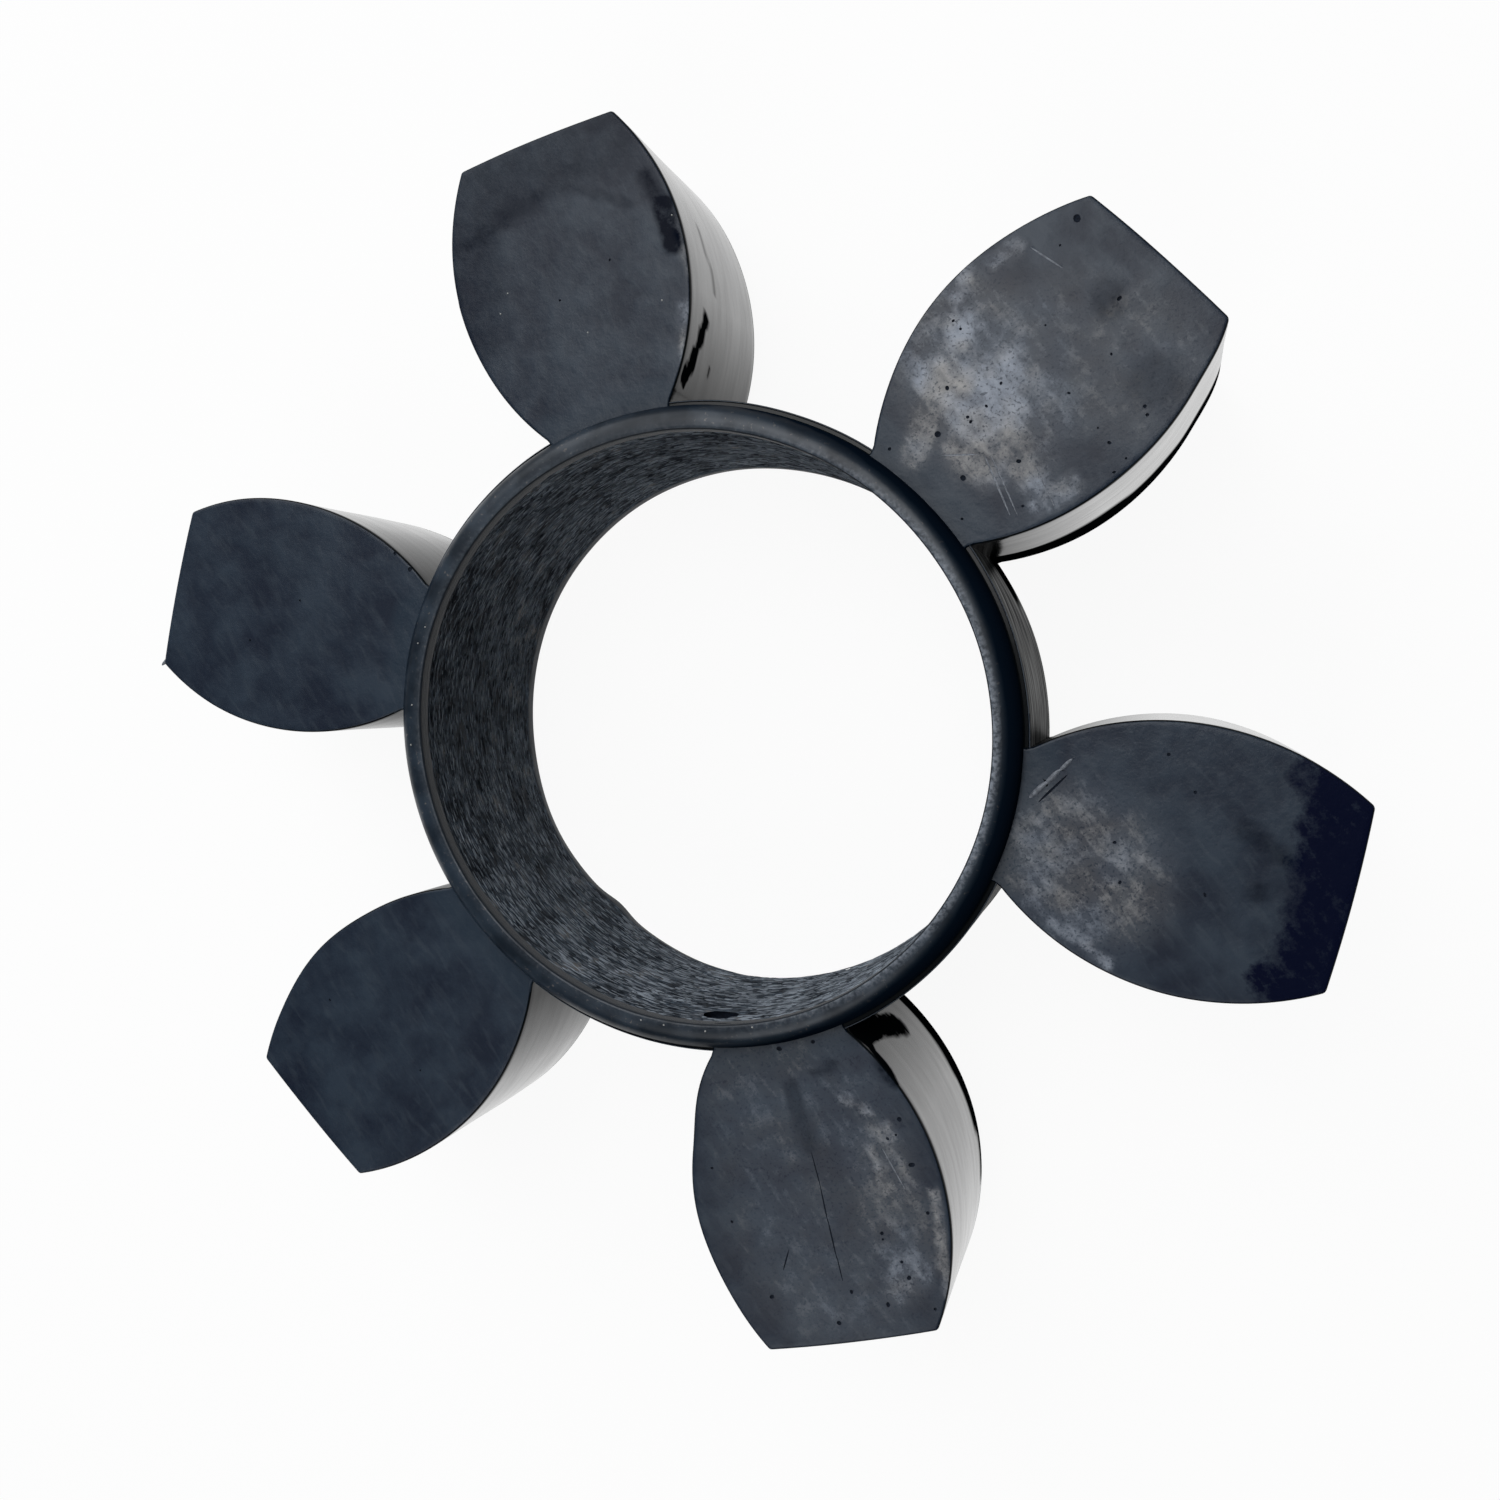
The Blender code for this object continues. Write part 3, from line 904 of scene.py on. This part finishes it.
def skin(name, colour, roughness, specular=0.5, coat=()):
    """A rubber material, coat being its wax's roughness and IOR: with its tree, shader and place."""
    material = bpy.data.materials.new(name)
    material.use_nodes = True
    tree = material.node_tree
    shader = tree.nodes["Principled BSDF"]
    labels = ("Base Color", "Roughness", "Specular IOR Level", "IOR", "Coat Roughness", "Coat IOR")
    for label, value in zip(labels, (linear(colour), roughness, specular, RUBBER_IOR, *coat)):
        shader.inputs[label].default_value = value
    return material, tree, shader, add(tree, "ShaderNodeTexCoord")["Object"]


def finish(tree, shader, reliefs=(), **sockets):
    """Links sockets to the shader's inputs, an underscore standing for a space, and adds bumps.

    Each relief is a bump's strength, depth and height, and lies on the one before.
    """
    normal = None
    for strength, depth, height in reliefs:
        relief = {"Strength": strength, "Distance": depth, "Height": height, "Normal": normal}
        normal = add(tree, "ShaderNodeBump", relief)[0]
        sockets |= {"Normal": normal, "Coat_Normal": normal}
    for name, socket in sockets.items():
        tree.links.new(socket, shader.inputs[name.replace("_", " ")])


def round_axis(tree, place):
    """How far a place is from the ring's axis and from its middle level."""
    x, y, z = add(tree, SEPARATE, (place,))
    flat = add(tree, COMBINE, (x, y))[0]
    radius = add(tree, VECTOR, (flat,), operation="LENGTH")["Value"]
    off_middle = add(tree, "SUBTRACT", (z, RING_WIDTH / 2))[0]
    return radius, add(tree, "ABSOLUTE", (off_middle,))[0]


def streaked(tree, place, sizes, **settings):
    """Noise in streaks of this length and height along the walls."""
    length, height = sizes
    drawn = {"Vector": place, "Scale": (1 / length, 1 / length, 1 / height)}
    combed = {"Vector": add(tree, "ShaderNodeMapping", drawn)[0], "Scale": 1.0}
    return add(tree, NOISE, combed | settings)[0]


def satin_moulded_rubber():
    """Moulded skin rubbed satin: a cloudy blue-black sheen, with pale bloom, greasy smudges and a navy-black
    painted dark reflection.
    """
    material, tree, shader, place = skin("satin_moulded_rubber", "#1c2830", 0.6, 0.0, (0.4, 1.5))
    coarse = {"Vector": place, "Scale": 1 / CLOUD_SIZE, "Detail": 5.0, "Roughness": 0.62}
    cloud = add(tree, RANGE, (add(tree, NOISE, coarse)[0], 0.36, 0.64))[0]
    fine = {"Vector": place, "Scale": 1 / MOTTLE_SIZE, "Detail": 8.0, "Roughness": 0.75}
    fine_noise = add(tree, NOISE, fine)[0]
    blotch = add(tree, RANGE, (fine_noise, 0.38, 0.64))[0]
    grain = add(tree, NOISE, {"Vector": place, "Scale": 1 / GRAIN_SIZE, "Detail": 3.0})[0]
    freckle = add(tree, RANGE, (grain, 0.56, 0.66))[0]

    wiped = add(
        tree,
        "ShaderNodeMapping",
        {"Vector": place, "Rotation": (0, 0, WIPE_HEADING), "Scale": WIPE_SIZE},
        vector_type="TEXTURE",
    )[0]
    wipes = add(tree, NOISE, {"Vector": wiped, "Scale": 1.0, "Detail": 5.0, "Distortion": 0.5})[0]
    stroke = add(tree, RANGE, (wipes, 0.4, 0.62))[0]
    wipe = add(tree, RANGE, (wipes, 0.52, 0.78, 0.0, 0.35))[0]

    radius, _ = round_axis(tree, place)
    wandered = add(tree, "MULTIPLY_ADD", (cloud, RUBBED_WANDER, radius))[0]
    rolled = add(tree, RANGE, (wandered, *RUBBED_RADII, 0.7, 0.0))[0]

    bloom = add(tree, ATTRIBUTE, attribute_name="bloom")["Fac"]
    drawn = add(tree, "MULTIPLY_ADD", (stroke, 0.45, blotch))[0]
    patchy = add(tree, "MULTIPLY_ADD", (cloud, 0.45, drawn))[0]
    ragged = add(tree, "MULTIPLY_ADD", (patchy, 0.55, bloom))[0]
    spread = add(tree, RANGE, (ragged, 0.6, 1.75))[0]
    near = add(tree, RANGE, (bloom, 0.0, 0.5))[0]
    caught = add(tree, "MULTIPLY", (spread, near))[0]
    veil = add(tree, "MULTIPLY", (bloom, 0.32))[0]
    laid = add(tree, "MAXIMUM", (caught, veil))[0]
    worn_off = add(tree, RANGE, (freckle, 0.0, 1.0, 1.0, 0.3))[0]
    chalk = add(tree, "MULTIPLY", (laid, worn_off))[0]
    broken = add(tree, "MULTIPLY_ADD", (patchy, 0.6, 0.45))[0]
    grease_and_shade = add(tree, ATTRIBUTE, attribute_name="grease_and_shade")["Fac"]
    smear = add(tree, "MULTIPLY", (grease_and_shade, broken), use_clamp=True)[0]
    # Painted dark reflection over one tip: the colour goes navy-black and the sheen is taken away
    tip_reflection = add(tree, ATTRIBUTE, attribute_name="tip_reflection")["Fac"]
    reflection_spread = add(tree, "MULTIPLY_ADD", (patchy, 0.38, tip_reflection))[0]
    dark_reflection = add(tree, RANGE, (reflection_spread, 0.78, 1.28))[0]

    warmth = add(tree, NOISE, {"Vector": place, "Scale": 1 / WARMTH_SIZE, "Detail": 2.0})[0]
    warm = add(tree, RANGE, (warmth, 0.4, 0.6))[0]
    colour = add(tree, MIX, {0: cloud, 6: linear("#0b1728"), 7: linear("#202d3b")}, data_type="RGBA")[2]
    talc = add(tree, MIX, {0: warm, 6: linear("#8f96a1"), 7: linear("#9a9998")}, data_type="RGBA")[2]
    for share, hue in (
        (rolled, linear("#1b2a38")),
        (wipe, linear("#3b444d")),
        (chalk, talc),
        (smear, linear("#060c19")),
        (dark_reflection, linear("#080d22")),
    ):
        colour = add(tree, MIX, {0: share, 6: colour, 7: hue}, data_type="RGBA")[2]
    sheen = add(tree, RANGE, (cloud, 0.0, 1.0, 0.52, 0.68))[0]
    covered = add(tree, "MULTIPLY", (chalk, 0.4))[0]
    greasy = add(tree, "MULTIPLY_ADD", (smear, 0.85, covered))[0]
    matt = add(tree, "MULTIPLY_ADD", (dark_reflection, 0.92, greasy))[0]
    bright = add(tree, RANGE, (matt, 0.0, 1.0, 1.0, 0.0))[0]
    coat = add(tree, "MULTIPLY", (sheen, bright))[0]
    reliefs = ((0.5, CLOUD_DEPTH, cloud), (0.4, MOTTLE_DEPTH, fine_noise), (0.35, GRAIN_DEPTH, grain))
    finish(tree, shader, reliefs, Base_Color=colour, Coat_Weight=coat)
    return material


def glossy_flank_rubber():
    """Flank skin off a polished mould, waxy: a bright sheen in bands along the wall, and near-black painted
    shade at its edges, at its root and in marks down the walls.
    """
    material, tree, shader, place = skin("glossy_flank_rubber", "#15181a", 0.6, 0.0, (0.13, 1.85))
    streaks = streaked(tree, place, FLANK_STREAK, Detail=5.0, Roughness=0.6)
    radius, away = round_axis(tree, place)
    # Painted shade: the flank goes near black at its top and bottom edges and towards the pad's root
    edge_shade = add(tree, RANGE, (away, *FLANK_EDGE_SHADE, 0.0, 0.85))[0]
    root = add(tree, RANGE, (radius, *FLANK_ROOT_SHADE_RADII, 0.65, 0.0))[0]
    edge_and_root_shade = add(tree, "MAXIMUM", (root, edge_shade))[0]
    # Down the walls these marks are painted shade
    grease_and_shade = add(tree, ATTRIBUTE, attribute_name="grease_and_shade")["Fac"]
    thick = add(tree, RANGE, (streaks, 0.35, 0.65, 0.8, 1.15))[0]
    ragged = add(tree, "MULTIPLY", (grease_and_shade, thick))[0]
    shade_and_grease = add(tree, RANGE, (ragged, 0.15, 0.72))[0]
    flank_shade_and_grease = add(tree, "MAXIMUM", (shade_and_grease, edge_and_root_shade))[0]
    clean = add(tree, "SUBTRACT", (1.0, flank_shade_and_grease))[0]
    colour = add(tree, MIX, {0: flank_shade_and_grease, 6: linear("#25292b"), 7: linear("#080c0f")}, data_type="RGBA")[2]
    film = add(tree, RANGE, (streaks, 0.3, 0.6, 0.85, 1.0))[0]
    coat = add(tree, "MULTIPLY", (film, clean))[0]
    finish(tree, shader, [(0.25, STREAK_DEPTH, streaks)], Base_Color=colour, Coat_Weight=coat)
    return material


def rolled_collar_rubber():
    """The ring's rolled rim: half glossy, its inner edge worn pale and paler to one side as a painted
    highlight, its outer side painted near black as shade on that side.
    """
    material, tree, shader, place = skin("rolled_collar_rubber", "#18222a", 0.6, 0.0, (0.34, 1.45))
    coarse = add(tree, NOISE, {"Vector": place, "Scale": 1 / COLLAR_CLOUD_SIZE, "Detail": 4.0})[0]
    cloud = add(tree, RANGE, (coarse, 0.38, 0.64))[0]
    fine = add(tree, NOISE, {"Vector": place, "Scale": 1 / COLLAR_SPECK_SIZE, "Detail": 4.0})[0]
    speck = add(tree, RANGE, (fine, 0.62, 0.72))[0]
    worn = add(tree, "MULTIPLY", (speck, cloud))[0]

    rim = add(tree, ATTRIBUTE, attribute_name="rim")["Fac"]
    # Painted shade: the rim's outer side goes near black and loses its gloss towards one side
    side = add(tree, VECTOR, (place, SHADED_SIDE), operation="DOT_PRODUCT")["Value"]
    turned = add(tree, "MULTIPLY_ADD", (side, 0.5 / RING_MIDDLE, rim))[0]
    ragged = add(tree, "MULTIPLY_ADD", (coarse, 0.3, turned))[0]
    side_shade = add(tree, RANGE, (ragged, 0.86, 1.2))[0]
    # The pale inner edge is wear, and a painted highlight where it grows paler towards that same side
    edge = add(tree, RANGE, (rim, 0.36, 0.06))[0]
    rubbed = add(tree, RANGE, (side, 0.2 * RING_MIDDLE, 0.95 * RING_MIDDLE, 0.08, 0.85))[0]
    mottled = add(tree, RANGE, (fine, 0.4, 0.6, 0.2, 1.0))[0]
    worn_and_lit_arris = add(tree, "MULTIPLY", (edge, rubbed))[0]
    pale = add(tree, "MULTIPLY", (worn_and_lit_arris, mottled))[0]

    colour = add(tree, MIX, {0: cloud, 6: linear("#0f1923"), 7: linear("#202c38")}, data_type="RGBA")[2]
    for share, hue in ((worn, "#5e5a58"), (pale, "#8a919b"), (side_shade, "#07101a")):
        colour = add(tree, MIX, {0: share, 6: colour, 7: linear(hue)}, data_type="RGBA")[2]
    clean = add(tree, "SUBTRACT", (1.0, side_shade))[0]
    film = add(tree, RANGE, (cloud, 0.0, 1.0, 0.6, 0.95))[0]
    coat = add(tree, "MULTIPLY", (clean, film))[0]
    finish(tree, shader, [(0.35, COLLAR_DEPTH, fine)], Base_Color=colour, Coat_Weight=coat)
    return material


def dull_hub_rubber():
    """The hub's wall between the pads: mould skin dulled by handling, streaked along the wall."""
    material, tree, shader, place = skin("dull_hub_rubber", "#14181a", 0.6, 0.0, (0.3, 1.45))
    streaks = streaked(tree, place, HUB_STREAK, Detail=5.0)
    streak = add(tree, RANGE, (streaks, 0.4, 0.62))[0]
    # Where the marks reach the hub at a pad's root they are painted shade
    grease_and_shade = add(tree, ATTRIBUTE, attribute_name="grease_and_shade")["Fac"]
    shade_and_grease = add(tree, RANGE, (grease_and_shade, 0.2, 0.6))[0]
    clean = add(tree, "SUBTRACT", (1.0, shade_and_grease))[0]
    colour = add(tree, MIX, {0: streak, 6: linear("#0c1013"), 7: linear("#2a2e2e")}, data_type="RGBA")[2]
    colour = add(tree, MIX, {0: shade_and_grease, 6: colour, 7: linear("#030508")}, data_type="RGBA")[2]
    film = add(tree, RANGE, (streak, 0.0, 1.0, 0.08, 0.36))[0]
    coat = add(tree, "MULTIPLY", (film, clean))[0]
    finish(tree, shader, [(0.4, STREAK_DEPTH, streaks)], Base_Color=colour, Coat_Weight=coat)
    return material


def torn_bore_rubber():
    """Rubber torn open like bark: short dark flecks between grey strands that run round the bore."""
    material, tree, shader, place = skin("torn_bore_rubber", "#1c2329", 0.75, 0.3)
    strands = streaked(tree, place, FLECK_SIZE, Detail=4.0, Roughness=0.6)
    patches = add(tree, NOISE, {"Vector": place, "Scale": 1 / FLECK_PATCH_SIZE, "Detail": 3.0})[0]
    uneven = add(tree, "SUBTRACT", (patches, 0.5))[0]
    lifted = add(tree, "MULTIPLY_ADD", (uneven, 0.7, strands))[0]
    dark = add(tree, RANGE, (lifted, 0.4, 0.52, 1.0, 0.0))[0]
    pale = add(tree, RANGE, (lifted, 0.52, 0.66))[0]
    brown = add(tree, RANGE, (patches, 0.5, 0.65))[0]
    strand = add(tree, MIX, {0: brown, 6: linear("#6b7886"), 7: linear("#7b7978")}, data_type="RGBA")[2]
    colour = add(tree, MIX, {0: pale, 6: linear("#303e4c"), 7: strand}, data_type="RGBA")[2]
    colour = add(tree, MIX, {0: dark, 6: colour, 7: linear("#08121d")}, data_type="RGBA")[2]
    _, away = round_axis(tree, place)
    wandered = add(tree, "MULTIPLY_ADD", (patches, BAND_WANDER, away))[0]
    band = add(tree, RANGE, (wandered, *BAND_LEVELS))[0]
    colour = add(tree, MIX, {0: band, 6: colour, 7: linear("#131b24")}, data_type="RGBA")[2]
    dull = add(tree, RANGE, (band, 0.0, 1.0, 0.8, 0.6))[0]
    finish(tree, shader, [(0.7, FLECK_DEPTH, strands)], Base_Color=colour, Roughness=dull)
    return material


def frayed_strand_rubber():
    """The loose strands: some pale where the rubber was stretched, some black."""
    material, tree, shader, place = skin("frayed_strand_rubber", "#20272e", 0.7, 0.4)
    patches = add(tree, NOISE, {"Vector": place, "Scale": 1 / FLECK_PATCH_SIZE, "Detail": 3.0})[0]
    shade = add(tree, ATTRIBUTE, attribute_name="shade")["Fac"]
    both = add(tree, "MULTIPLY_ADD", (patches, 1.3, shade))[0]
    pale = add(tree, RANGE, (both, 0.66, 1.88))[0]
    colour = add(tree, MIX, {0: pale, 6: linear("#0e1925"), 7: linear("#a6b0bb")}, data_type="RGBA")[2]
    finish(tree, shader, Base_Color=colour)
    return material


def mottled_rubber(name, dark, pale, grain_size, roughness, specular=0.5):
    """A finish for small marks: two near shades, mottled and rough at a grain size."""
    material, tree, shader, place = skin(name, dark, roughness, specular)
    grain = add(tree, NOISE, {"Vector": place, "Scale": 1 / grain_size, "Detail": 3.0})[0]
    mottle = add(tree, RANGE, (grain, 0.4, 0.6))[0]
    colour = add(tree, MIX, {0: mottle, 6: linear(dark), 7: linear(pale)}, data_type="RGBA")[2]
    finish(tree, shader, [(0.4, MARK_DEPTH, grain)], Base_Color=colour)
    return material


def make_skins():
    """Every rubber finish and the dust, by name."""
    made = [
        satin_moulded_rubber(),
        glossy_flank_rubber(),
        rolled_collar_rubber(),
        torn_bore_rubber(),
        dull_hub_rubber(),
        frayed_strand_rubber(),
        # The inside of a pit, cut or tear, near black: raw rubber with painted shade in the hollow
        mottled_rubber("dark_pit_rubber_and_shade", "#0a101a", "#121a26", 0.3 * MM, 0.8, specular=0.15),
        # The skin scratched grey; on the raised scars the same pale colour is a painted highlight
        mottled_rubber("pale_scratch_and_highlight_rubber", "#585d65", "#747981", 0.5 * MM, 0.6),
        # Specks of dust and talc
        mottled_rubber("pale_dust", "#989a99", "#b0b0ad", 0.1 * MM, 0.9),
    ]
    return {material.name: material for material in made}


def zone(centre, normal):
    """The finish of the insert's own skin at a face."""
    radius = math.hypot(centre.x, centre.y)
    outward = (centre.x * normal.x + centre.y * normal.y) / radius
    from_middle = abs(centre.z - RING_WIDTH / 2)
    above_face = from_middle - PAD_THICKNESS / 2
    on_ring = radius < HUB_RADIUS + RING_REACH
    if radius < BORE_RADIUS + BORE_REACH and outward < INWARD:
        return "torn_bore_rubber"
    if abs(normal.z) > LEVEL and abs(above_face) < (FACE_REACH_ON_RING if on_ring else FACE_REACH):
        return "satin_moulded_rubber"
    if on_ring and above_face > -COLLAR_REACH:
        return "rolled_collar_rubber"
    if on_ring and outward > OUTWARD:
        return "dull_hub_rubber"
    return "glossy_flank_rubber"


def dress(insert, skins):
    """Gives every face its finish. A face that a mark made keeps the mark's own."""
    mesh = insert.data
    paint(mesh)
    had = [material.name for material in mesh.materials]
    order = list(skins)
    chosen = []
    for polygon in mesh.polygons:
        name = had[polygon.material_index]
        if name == "satin_moulded_rubber":
            name = zone(polygon.center, polygon.normal)
        chosen.append(order.index(name))
    mesh.materials.clear()
    for name in order:
        mesh.materials.append(skins[name])
    mesh.polygons.foreach_set("material_index", chosen)


# Stage, light and camera


def floor():
    """A white sheet under the part. Seen direct or in gloss it is near plain white, but for the shadow."""
    mesh = bpy.data.meshes.new("floor")
    corners = [(x * FLOOR_HALF, y * FLOOR_HALF, 0) for x, y in ((-1, -1), (1, -1), (1, 1), (-1, 1))]
    mesh.from_pydata(corners, [], [(0, 1, 2, 3)])
    sheet = new_object("floor", mesh)
    material = bpy.data.materials.new("white_sheet")
    material.use_nodes = True
    tree = material.node_tree
    tree.nodes.clear()
    path = add(tree, "ShaderNodeLightPath")
    mirrored = add(tree, "MAXIMUM", (path["Is Glossy Ray"], path["Is Transmission Ray"]))[0]
    paper = add(tree, "ShaderNodeBsdfDiffuse", {"Color": linear("#f2f2f2")})[0]
    glow = add(tree, "ShaderNodeEmission", {"Color": (1, 1, 1, 1), "Strength": 1.0})[0]
    gloss = add(tree, "MULTIPLY", (mirrored, FLOOR_MIRRORED))[0]
    direct = add(tree, "MULTIPLY", (path["Is Camera Ray"], FLOOR_SEEN))[0]
    share = add(tree, "MAXIMUM", (gloss, direct))[0]
    mix = add(tree, "ShaderNodeMixShader", (share, paper, glow))[0]
    add(tree, "ShaderNodeOutputMaterial", (mix,))
    mesh.materials.append(material)


def world():
    """Pale room light, stronger from a window side, with white behind for the camera."""
    room = bpy.data.worlds.new("room")
    bpy.context.scene.world = room
    room.use_nodes = True
    tree = room.node_tree
    tree.nodes.clear()
    direction = add(tree, "ShaderNodeTexCoord")["Generated"]
    side = add(tree, VECTOR, (direction, WINDOW_SIDE), operation="DOT_PRODUCT")["Value"]
    strength = add(tree, RANGE, (side, -0.7, 1.0, DARK_SIDE_LIGHT, WINDOW_LIGHT))[0]
    light = add(tree, "ShaderNodeBackground", (linear("#eef3fa"), strength))[0]
    white = add(tree, "ShaderNodeBackground", ((1, 1, 1, 1), 1.0))[0]
    seen = add(tree, "ShaderNodeLightPath")["Is Camera Ray"]
    mix = add(tree, "ShaderNodeMixShader", (seen, light, white))[0]
    add(tree, "ShaderNodeOutputWorld", (mix,))


def lamp(name, place, aim, size, energy):
    """A soft square lamp."""
    light = bpy.data.lights.new(name, "AREA")
    light.size = size
    light.energy = energy
    made = new_object(name, light)
    made.location = place
    made.rotation_euler = (Vector(aim) - Vector(place)).to_track_quat("-Z", "Y").to_euler()


def camera():
    """The photograph's camera, from its place, the point it looks at and its up direction."""
    data = bpy.data.cameras.new("camera")
    data.lens = CAMERA_LENS
    data.sensor_width = CAMERA_SENSOR
    data.shift_x, data.shift_y = CAMERA_SHIFT
    data.clip_start = CAMERA_NEAR
    made = new_object("camera", data)
    back = (CAMERA_PLACE - CAMERA_AIM).normalized()
    right = CAMERA_UP.cross(back).normalized()
    up = back.cross(right)
    made.matrix_world = Matrix.Translation(CAMERA_PLACE) @ Matrix((right, up, back)).transposed().to_4x4()
    bpy.context.scene.camera = made


def main():
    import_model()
    skins = make_skins()
    insert = moulded_insert(skins)
    dress(insert, skins)
    strands = bore_strands(skins["frayed_strand_rubber"])
    for piece in (insert, strands):
        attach(piece, "root")
    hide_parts(NODE)
    floor()
    world()
    for row in LAMPS:
        lamp(*row)
    camera()
    bpy.context.scene.view_settings.view_transform = "Standard"


main()
